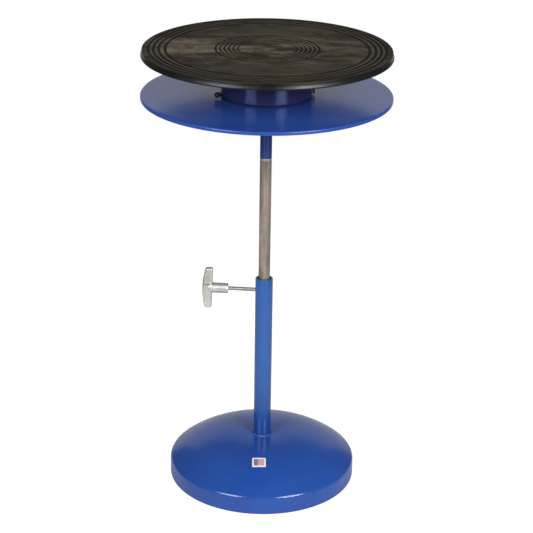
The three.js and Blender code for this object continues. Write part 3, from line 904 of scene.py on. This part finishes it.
FLANGE_LOW = PAN_TOP - 9.3
FLANGE_RADIUS = 82
FLANGE_BORE = 11.4
BALL_LEVEL = PAN_TOP + 16  # the radial bearing's middle
BALL_CIRCLE = 15.45
RACE_GROOVE = 2.15  # the radius of the balls' track
RACE_HALF = 5
THRUST_LOW = PAN_TOP + 51.3
THRUST_HIGH = DISC_BOTTOM - 6.9
LOCK_GROOVE = 74.2  # the radius at the bottom of the hub's groove


def hex_bolt(length):
    """A quarter-inch bolt standing on its head, with its thread up."""
    across, head = 12.7, 5.2
    shape = Shape().add(*hexagon(across, 0, head), Matrix.Rotation(math.pi, 4, "X"))
    collar = [(0, -0.05), (across * 0.46, -0.05), (across * 0.46, 0.0), (0, 0.0)]
    shape.add(*turned(collar, 48, False))
    return shape.add(*threaded(3.8, 0.5, 1.25, -0.4, length))


def make_post():
    """The nylon guide, the post, its weld, its flange and the bolts up into the hub."""
    guide = rounded([(0, 266.7), (11.6, 266.7, 1.0), (13.0, 268.7, 0.8), (13.0, 271.4, 0.3),
                     (12.5, 271.9, 0.3), (12.5, 273.0, 0.3), (13.0, 273.5, 0.3),
                     (13.0, 276.7, 0.8), (7.8, 276.7), (7.8, 298.7, 0.8), (0, 298.7)], 4, False)
    lathe("nylon_guide", guide, NYLON, "post_guide", 64, False, 40)

    film = 0.12
    tube = rounded([
        (POST_INNER, POST_LOW.z, 0.3), (POST_OUTER - film, POST_LOW.z, 0.5),
        (POST_OUTER - film, PAINT_LINE - 0.4), (POST_OUTER, PAINT_LINE + 0.4),
        (POST_OUTER, POST_HIGH.z, 0.4), (POST_INNER, POST_HIGH.z, 0.3)], 4)
    lathe("sliding_post", tube, ("bare_steel", post_steel()), "post_tube", 80, smooth=50)

    bead = Shape().add(*weld_bead(POST_OUTER + 0.3, FLANGE_LOW - 0.02, 4.6, -4.6, 17, 5.0, 220))
    finish(make("post_weld_bead", bead, 60), BLUE, "post_weld")

    flange = ring(FLANGE_BORE, FLANGE_RADIUS, FLANGE_LOW, FLANGE_LOW + 6, (0.4, 1.2, 0.6, 0.4))
    lathe("post_flange_disc", divided(flange, 14, True), BLUE, "post_flange", 120)
    for i, point in enumerate(around(4, 67, FLANGE_LOW - 0.3, math.pi / 4), 1):
        finish(make(f"hub_bolt_hex_{i}", hex_bolt(18.8), 30, at(*point)), ZINC, f"hub_bolt_{i}")


def make_pan():
    """The shelf: a flat sheet disc with a rolled-down lip and a shallow seat for the drum."""
    top, low, edge, sheet = PAN_TOP, PAN_LOW.z, PAN_RADIUS, 3
    outline = rounded([
        (20, top - sheet, 0.3), (20, top - 0.5, 0.3), (85.4, top - 0.5, 0.4), (86.2, top, 0.4),
        (edge, top, 2.2), (edge, low, 0.6), (edge - sheet, low, 0.6),
        (edge - sheet, top - sheet, 1.2)], 6)

    def waved(angle, r, z):
        here = Vector((math.cos(angle) * r, math.sin(angle) * r, 3.0)) / 95
        amount = limited((r - 95) / 40) * limited((226 - r) / 16)
        return r, z - 0.14 * amount * (0.5 + 0.5 * noise.noise(here))

    lathe("shelf_pan", divided(outline, 9, True), PAN_BLUE, "pan", 192, smooth=50, shift=waved)


def make_hub():
    """The fixed casting inside the drum, grooved for the lock screw, with its bearings."""
    base, rim = PAN_TOP, 77
    outline = rounded([
        (rim, base - 0.2, 0.8), (rim, LOCK_HEIGHT - 4, 0.4), (LOCK_GROOVE, LOCK_HEIGHT - 4, 0.3),
        (LOCK_GROOVE, LOCK_HEIGHT + 4, 0.3), (rim, LOCK_HEIGHT + 4, 0.4),
        (rim, base + 45, 2.0), (38, base + 45, 1.5), (38, base + 51, 0.6),
        (17, base + 51, 0.4), (17, base + 21.3), (21, base + 21.3), (21, base + 8, 0.4),
        (28, base + 8, 1.5), (28, base + 38, 3.0), (70, base + 38, 3.0), (70, base + 17, 1.5),
        (58, base + 14, 1.5), (58, base - 0.2, 0.6)], 4)
    lathe("bearing_hub", divided(outline, 10, True), IRON, "hub", 112)

    track = [(max(17.3, r), z) for r, z in arc(BALL_CIRCLE, BALL_LEVEL, RACE_GROOVE, 30, -30, 6)]
    low, high = BALL_LEVEL - RACE_HALF, BALL_LEVEL + RACE_HALF
    outer = [(20.7, low), (20.7, high), (17.9, high), *track, (17.9, low)]
    lathe("radial_race_outer", outer, GROUND, "radial_outer_race", 80, smooth=30)
    make_balls("radial", BALL_LEVEL, BALL_CIRCLE, 2.0, 8, 0.9, 1.2)
    thrust_race("lower", THRUST_LOW, THRUST_LOW + 3)
    make_balls("thrust", THRUST_LOW + 6.9, 30, 3.6, 10, 6, 1)


def thrust_race(name, back, face):
    """A thrust bearing's washer, with a shallow track in the face that looks to the balls."""
    track = face - math.copysign(0.4, face - back)
    outline = [(21.4, back, 0.4), (38, back, 0.4), (38, face, 0.4), (31.6, face, 0.2),
               (30.8, track, 0.4), (29.2, track, 0.4), (28.4, face, 0.2), (21.4, face, 0.4)]
    lathe(f"thrust_race_{name}", rounded(outline), GROUND, f"thrust_washer_{name}", 96, smooth=30)


def make_balls(name, z, circle, radius, count, half_width, half_height):
    """A ball set: a turned cage with pockets' rims, and the polished balls in it."""
    cage = ring(circle - half_width, circle + half_width, -half_height, half_height, [0.25] * 4)
    shape = Shape().add(*turned(cage, 96), at(0, 0, z))
    reach = half_height + 0.3
    rim = ring(radius * 0.80, radius * 0.90, -reach, reach, [0.1] * 4, 3)
    balls = Shape()
    for point in around(count, circle, z):
        shape.add(*turned(rim, 32), at(*point))
        balls.add(*ball(radius), at(*point))
    node = f"{name}_cage"
    finish(make(f"{name}_cage_ring", shape, 35), BRASS, node)
    finish(make(f"{name}_steel_balls", balls, 60), GROUND, node)


# ---------------------------------------------------------------- turntable head

# The grooves' middles, as shares of the disc's radius, and their half widths.
INNER_GROOVES = [0.235, 0.270, 0.305, 0.340, 0.375, 0.410]
OUTER_GROOVES = [0.805, 0.855, 0.898, 0.938]
INNER_HALF = 2.1
OUTER_HALF = 2.5
WIDEST = 1.35  # the grooves beside the smooth band are wider by this
RIM_SLANT = 2.0  # how far the rim flares out on its way down
RIM_START = DISC_RADIUS - RIM_SLANT - 0.5


def top_profile():
    """Radius, height and ridge height of the disc's top, from its middle to its edge."""
    rows = []

    def add(radius, drop, lift):
        rows.append((radius, DISC_TOP - drop, lift))

    def land(start, end, steps):
        for i in range(steps):
            add(start + (end - start) * i / steps, 0.0, 0.0)

    def group(grooves, half, depth, crown):
        for index, share in enumerate(grooves):
            middle = share * DISC_RADIUS
            wide = half * (WIDEST if share in (INNER_GROOVES[-1], OUTER_GROOVES[0]) else 1.0)
            for u in (-1.0, -0.72, -0.4, -0.14, 0.14, 0.4, 0.72, 1.0):
                hollow = math.cos(u * math.pi / 2)
                add(middle + u * wide, depth * hollow ** 1.5, -hollow)
            if index + 1 < len(grooves):
                start, end = middle + wide, grooves[index + 1] * DISC_RADIUS - half
                for v in (0.25, 0.5, 0.75):
                    height = math.sin(v * math.pi)
                    add(start + (end - start) * v, crown * (1 - height), height)

    add(0, 0, 0)
    land(3, INNER_GROOVES[0] * DISC_RADIUS - INNER_HALF, 9)
    group(INNER_GROOVES, INNER_HALF, 1.1, 0.15)
    land(INNER_GROOVES[-1] * DISC_RADIUS + INNER_HALF + 1.5,
         OUTER_GROOVES[0] * DISC_RADIUS - OUTER_HALF, 16)
    group(OUTER_GROOVES, OUTER_HALF, 1.2, 0.15)
    land(OUTER_GROOVES[-1] * DISC_RADIUS + OUTER_HALF + 0.8, DISC_RADIUS - 5, 2)
    return rows


def make_cover():
    """The moulded disc: ribbed on top, flared at its side, hollow underneath."""
    rows = top_profile()
    shoulder = DISC_RADIUS - RIM_SLANT
    edge = arc(shoulder - 1.4, DISC_TOP - 1.4, 1.4, 90, 10, 7)
    side = [(shoulder + RIM_SLANT * (i / 8) ** 1.7, DISC_TOP - 1.8 - 7.8 * i / 8)
            for i in range(9)]
    foot = arc(DISC_RADIUS - 1.6, DISC_BOTTOM + 1.6, 1.6, 0, -90, 5)
    ceiling = DISC_BOTTOM + 6.7
    under = [(225.4, DISC_BOTTOM), (225, DISC_BOTTOM + 0.4), (225, ceiling), (150, ceiling),
             (75, ceiling), (0, ceiling)]
    outline = [(r, z) for r, z, _ in rows] + edge + side + foot + under
    lifts = [lift for _, _, lift in rows] + [0.0] * (len(outline) - len(rows))
    cover = make("ribbed_top", Shape().add(*turned(outline, 256, False)), 50)
    write_marks(cover, outline, lifts)
    finish(cover, ("ribbed_black", top_material()), "turntable_cover")
    cover.data.materials.append(rim_material())
    for face in cover.data.polygons:
        x, y, _ = face.center / MM
        face.material_index = 1 if math.hypot(x, y) > RIM_START else 0


def write_marks(cover, outline, lifts):
    """Stores each point's place on the ridges, and how far out it is past the smooth band."""
    mesh = cover.data
    ridge = mesh.attributes.new("ridge", "FLOAT", "POINT")
    outward = mesh.attributes.new("outward", "FLOAT", "POINT")
    found = {}
    band_end = OUTER_GROOVES[0] * DISC_RADIUS
    for i, vertex in enumerate(mesh.vertices):
        x, y, z = vertex.co / MM
        key = (round(math.hypot(x, y), 2), round(z, 2))
        if key not in found:
            found[key] = min(range(len(outline)), key=lambda n: math.dist(outline[n], key))
        ridge.data[i].value = lifts[found[key]]
        outward.data[i].value = limited((key[0] - band_end + 6) / 18)


def make_plate():
    """The steel disc that stiffens the cover from below."""
    low, thick = DISC_BOTTOM, 6.4
    plate = rounded([(0, low), (224.6, low, 1.2), (224.6, low + thick, 1.2), (0, low + thick)],
                    5, False)
    lathe("backing_plate", divided(plate, 14), PRIMER, "turntable_plate", 160, False, 40)


def make_spindle():
    """The turning shaft in the hub, with its races, its nut and its bolts to the plate."""
    pan, flange = PAN_TOP, DISC_BOTTOM - 6.6
    spindle = rounded([
        (0, pan + 1), (7.2, pan + 1), (8, pan + 1.8), (8, pan + 10.7), (10, pan + 10.7, 0.4),
        (10, pan + 21.3), (13, pan + 21.3, 0.4), (16, pan + 27.3, 2), (16, flange, 3),
        (79, flange, 1), (79, DISC_BOTTOM - 0.3, 0.8), (0, DISC_BOTTOM - 0.3)], 5, False)
    lathe("spindle_shaft", divided(spindle, 10), GROUND, "spindle", 112, False, 40)

    track = [(min(13.6, r), z) for r, z in arc(BALL_CIRCLE, BALL_LEVEL, RACE_GROOVE, 210, 150, 6)]
    low, high = BALL_LEVEL - RACE_HALF, BALL_LEVEL + RACE_HALF
    inner = [(10.3, low), (13, low), *track, (13, high), (10.3, high)]
    lathe("radial_race_inner", inner, GROUND, "radial_inner_race", 80, smooth=30)

    washer = ring(8.3, 12.6, pan + 8.6, pan + 10.7, (0.3, 0.4, 0.4, 0.3))
    lathe("spindle_nut_washer", washer, ZINC, "spindle_washer")
    nut = Shape().add(*hexagon(22.4, pan + 1.6, pan + 8.3, 8.3))
    finish(make("spindle_lock_nut", nut, 30), ZINC, "spindle_nut")
    thrust_race("upper", THRUST_HIGH, THRUST_HIGH - 3)
    for i, point in enumerate(around(4, 56, THRUST_HIGH), 1):
        finish(make(f"plate_bolt_hex_{i}", hex_bolt(12), 30, at(*point)), ZINC,
               f"plate_bolt_{i}")


def make_skirt():
    """The drum: a ring of pipe with machined ends, and its three button-head screws."""
    outline = ring(DRUM_RADIUS - 3, DRUM_RADIUS, SKIRT_LOW.z, SKIRT_HIGH.z, (0.5, 1.0, 0.5, 0.4))
    skirt = make("drum_skirt", Shape().add(*turned(divided(outline, 8, True), 160)), 50)
    drill(skirt, [(0, -7), (3.15, -7), (3.15, 2), (0, 2)], 32,
          radial_place(LOCK_ANGLE, DRUM_RADIUS, LOCK_HEIGHT))
    finish(skirt, DRUM_SHADED_BLUE, "skirt")
    for i in range(3):
        shape = Shape().add(*button_head(1.7, 1.3))
        shape.add(*threaded(2.9, 0.4, 1.0, -8.4, 0.5, 28))
        place = radial_place(TURN * i / 6, DRUM_RADIUS, LOCK_HEIGHT)
        finish(make(f"drum_screw_{i + 1}", shape, 35, place), BLACK, f"skirt_screw_{i + 1}")


def button_head(socket, floor):
    """A screw's domed head, from its rim up, then down a six-sided socket to its floor."""
    top = 3.0
    dome = [(5.2, 0.3), (5.2, 0.9), (4.9, 1.7), (4.2, 2.5), (3.3, 2.95), (2.4, top)]

    def cut(angle, r, z):
        if r > socket + 0.01:
            return r, z
        return hexagon_rim(socket * math.cos(math.pi / 6), angle), z

    outline = [(0, 0.3), *dome, (socket + 0.35, top), (socket, top - 0.25), (socket, floor),
               (0, floor - 0.5)]
    return turned(outline, 48, False, cut)


def make_lock():
    """Thumb screw with a knurled head, its lock nut and its nylon tip."""
    place = radial_place(LOCK_ANGLE, DRUM_RADIUS, LOCK_HEIGHT)
    nut = Shape().add(*hexagon(10.4, 0.3, 3.6, 3.1))
    finish(make("lock_hex_nut", nut, 30, place), DRUM_SHADED_BLUE, "lock_nut")

    def knurl(angle, r, z):
        if 8.2 < z < 14.8 and r > 4.5:
            return r - 0.32 * (0.5 + 0.5 * math.cos(angle * 28)), z
        return r, z

    head = rounded([(0, 6.4), (3.6, 6.4, 0.5), (3.8, 7.4, 0.4), (5.0, 8.0, 0.4), (5.0, 15.0, 0.5),
                    (4.0, 16.4, 0.6), (2.8, 16.4, 0.3), (2.3, 15.9, 0.3), (0, 15.9)], 4, False)
    shape = Shape().add(*turned(divided(head, 0.9), 112, False, knurl))
    groove = LOCK_GROOVE - DRUM_RADIUS
    shape.add(*threaded(2.9, 0.45, 1.0, groove + 3.3, 7.2, 32))
    finish(make("lock_thumb_screw", shape, 40, place), BLACK, "lock_screw")

    pad = rounded([(0, groove + 1), (2.4, groove + 1, 0.5), (2.4, groove + 3, 0.2),
                   (0, groove + 3)], 4, False)
    lathe("lock_nylon_tip", pad, NYLON, "lock_pad", 32, False, 40, place)


def make_head():
    make_cover()
    make_plate()
    make_spindle()
    make_skirt()
    make_lock()


# ---------------------------------------------------------------- studio

FLOOR_RADIUS = 1.3
SWEEP_SHARE = 0.86  # of the floor's look that is the evenly lit sweep


def make_floor():
    """A plain pale sweep that takes only a faint shadow. The camera alone sees it evenly lit."""
    floor = make("studio_sweep", Shape().add(
        [(*p[:2], 0) for p in around(96, FLOOR_RADIUS / MM)], [tuple(range(96))]))
    f = Finish("studio_floor")
    f.set(color=(0.80, 0.80, 0.80, 1), rough=0.9, specular=0.1)
    own = f.shader.outputs[0]
    even = f.node("ShaderNodeEmission", {"Strength": 1.2}).outputs[0]
    pale = f.node("ShaderNodeMixShader", {0: SWEEP_SHARE, 1: own, 2: even}).outputs[0]
    output = next(n for n in f.tree.nodes if n.type == "OUTPUT_MATERIAL")
    f.feed(output.inputs["Surface"], f.for_camera(own, pale))
    floor.data.materials.append(f.material)


ROOM_LEVEL = 0.14
BACKDROP_LEVEL = 0.80
BACKDROP_HALF_ANGLE = math.radians(30)
BACKDROP_TOP = math.radians(30)
# Azimuth, half width and radiance of the far floor that each softbox lights.
FLOOR_POOLS = ((-28, 20, 0.5), (37, 19, 0.6))


def make_world():
    """A dim room with a white backdrop behind the stand; the camera itself sees plain white."""
    world = bpy.data.worlds.new("studio")
    bpy.context.scene.world = world
    world.use_nodes = True
    w = Nodes(world.node_tree)
    w.tree.nodes.clear()

    def fading(source, full, gone):
        return w.map(source, full, gone, 1.0, 0.0, "SMOOTHSTEP")

    direction = w.node("ShaderNodeTexCoord").outputs["Generated"]
    x, y, z = w.node("ShaderNodeSeparateXYZ", {"Vector": direction}).outputs
    turn = w.math("ABSOLUTE", w.math("ARCTAN2", x, y))
    rise = w.math("ARCSINE", z)
    soft = math.radians(5)
    wide = fading(turn, BACKDROP_HALF_ANGLE - soft, BACKDROP_HALF_ANGLE + soft)
    tall = fading(rise, BACKDROP_TOP - soft, BACKDROP_TOP + soft)
    level = w.math("MULTIPLY", w.math("MULTIPLY", wide, tall), BACKDROP_LEVEL - ROOM_LEVEL)
    facing = w.math("ARCTAN2", x, w.math("MULTIPLY", y, -1.0))
    below = w.math("MULTIPLY", fading(rise, math.radians(-9), math.radians(-4)),
                   fading(rise, math.radians(-24), math.radians(-34)))
    for azimuth, half_width, radiance in FLOOR_POOLS:
        off = w.math("ABSOLUTE", w.math("SUBTRACT", facing, math.radians(azimuth)))
        pool = fading(off, math.radians(half_width - 9), math.radians(half_width + 9))
        pool = w.math("MULTIPLY", w.math("MULTIPLY", pool, below), radiance)
        level = w.math("ADD", level, pool)
    lit = w.node("ShaderNodeBackground", {"Strength": w.math("ADD", level, ROOM_LEVEL)})
    white = w.node("ShaderNodeBackground", {"Strength": 1.0, "Color": (1, 1, 1, 1)})
    w.node("ShaderNodeOutputWorld",
           {"Surface": w.for_camera(lit.outputs[0], white.outputs[0])})


LIGHT_DISTANCE = 6.0
LIGHT_AIM = Vector((0, 0, 0.45))


def softbox(name, azimuth, elevation, wide, radiance):
    """A round softbox, at an azimuth right of the camera; wide is its angle from the stand."""
    a, e = math.radians(azimuth), math.radians(elevation)
    toward = Vector((math.cos(e) * math.sin(a), -math.cos(e) * math.cos(a), math.sin(e)))
    size = 2 * LIGHT_DISTANCE * math.tan(math.radians(wide / 2))
    data = bpy.data.lights.new(name, "AREA")
    data.shape, data.size = "DISK", size
    data.energy = radiance * math.pi * math.pi * size * size / 4
    light = bpy.data.objects.new(name, data)
    light.location = LIGHT_AIM + toward * LIGHT_DISTANCE
    light.rotation_mode = "QUATERNION"
    light.rotation_quaternion = (-toward).to_track_quat("-Z", "Y")
    light.visible_camera = False
    bpy.context.scene.collection.objects.link(light)


def make_lights():
    softbox("softbox_left", -40, 27, 28, 11.0)
    softbox("softbox_right", 37, 27, 28, 15.0)


CAMERA_PLACE = (0, -2.971, 1.652)
CAMERA_PITCH = math.radians(22.268)
CAMERA_ROLL = math.radians(0.84)
CAMERA_YAW = math.radians(0.078)


def make_camera():
    """A view from straight ahead, looking down on the stand."""
    data = bpy.data.cameras.new("camera")
    data.sensor_width, data.lens = 36, 114.5
    data.clip_start, data.clip_end = 0.1, 100
    camera = bpy.data.objects.new("camera", data)
    turn = (Matrix.Rotation(-CAMERA_YAW, 4, "Z")
            @ Matrix.Rotation(math.pi / 2 - CAMERA_PITCH, 4, "X")
            @ Matrix.Rotation(CAMERA_ROLL, 4, "Z"))
    camera.matrix_world = Matrix.Translation(CAMERA_PLACE) @ turn
    bpy.context.scene.collection.objects.link(camera)
    bpy.context.scene.camera = camera


make_camera()
make_base()
make_clamp()
make_post()
make_pan()
make_hub()
make_head()
make_floor()
make_world()
make_lights()

bpy.context.scene.view_settings.view_transform = "Standard"
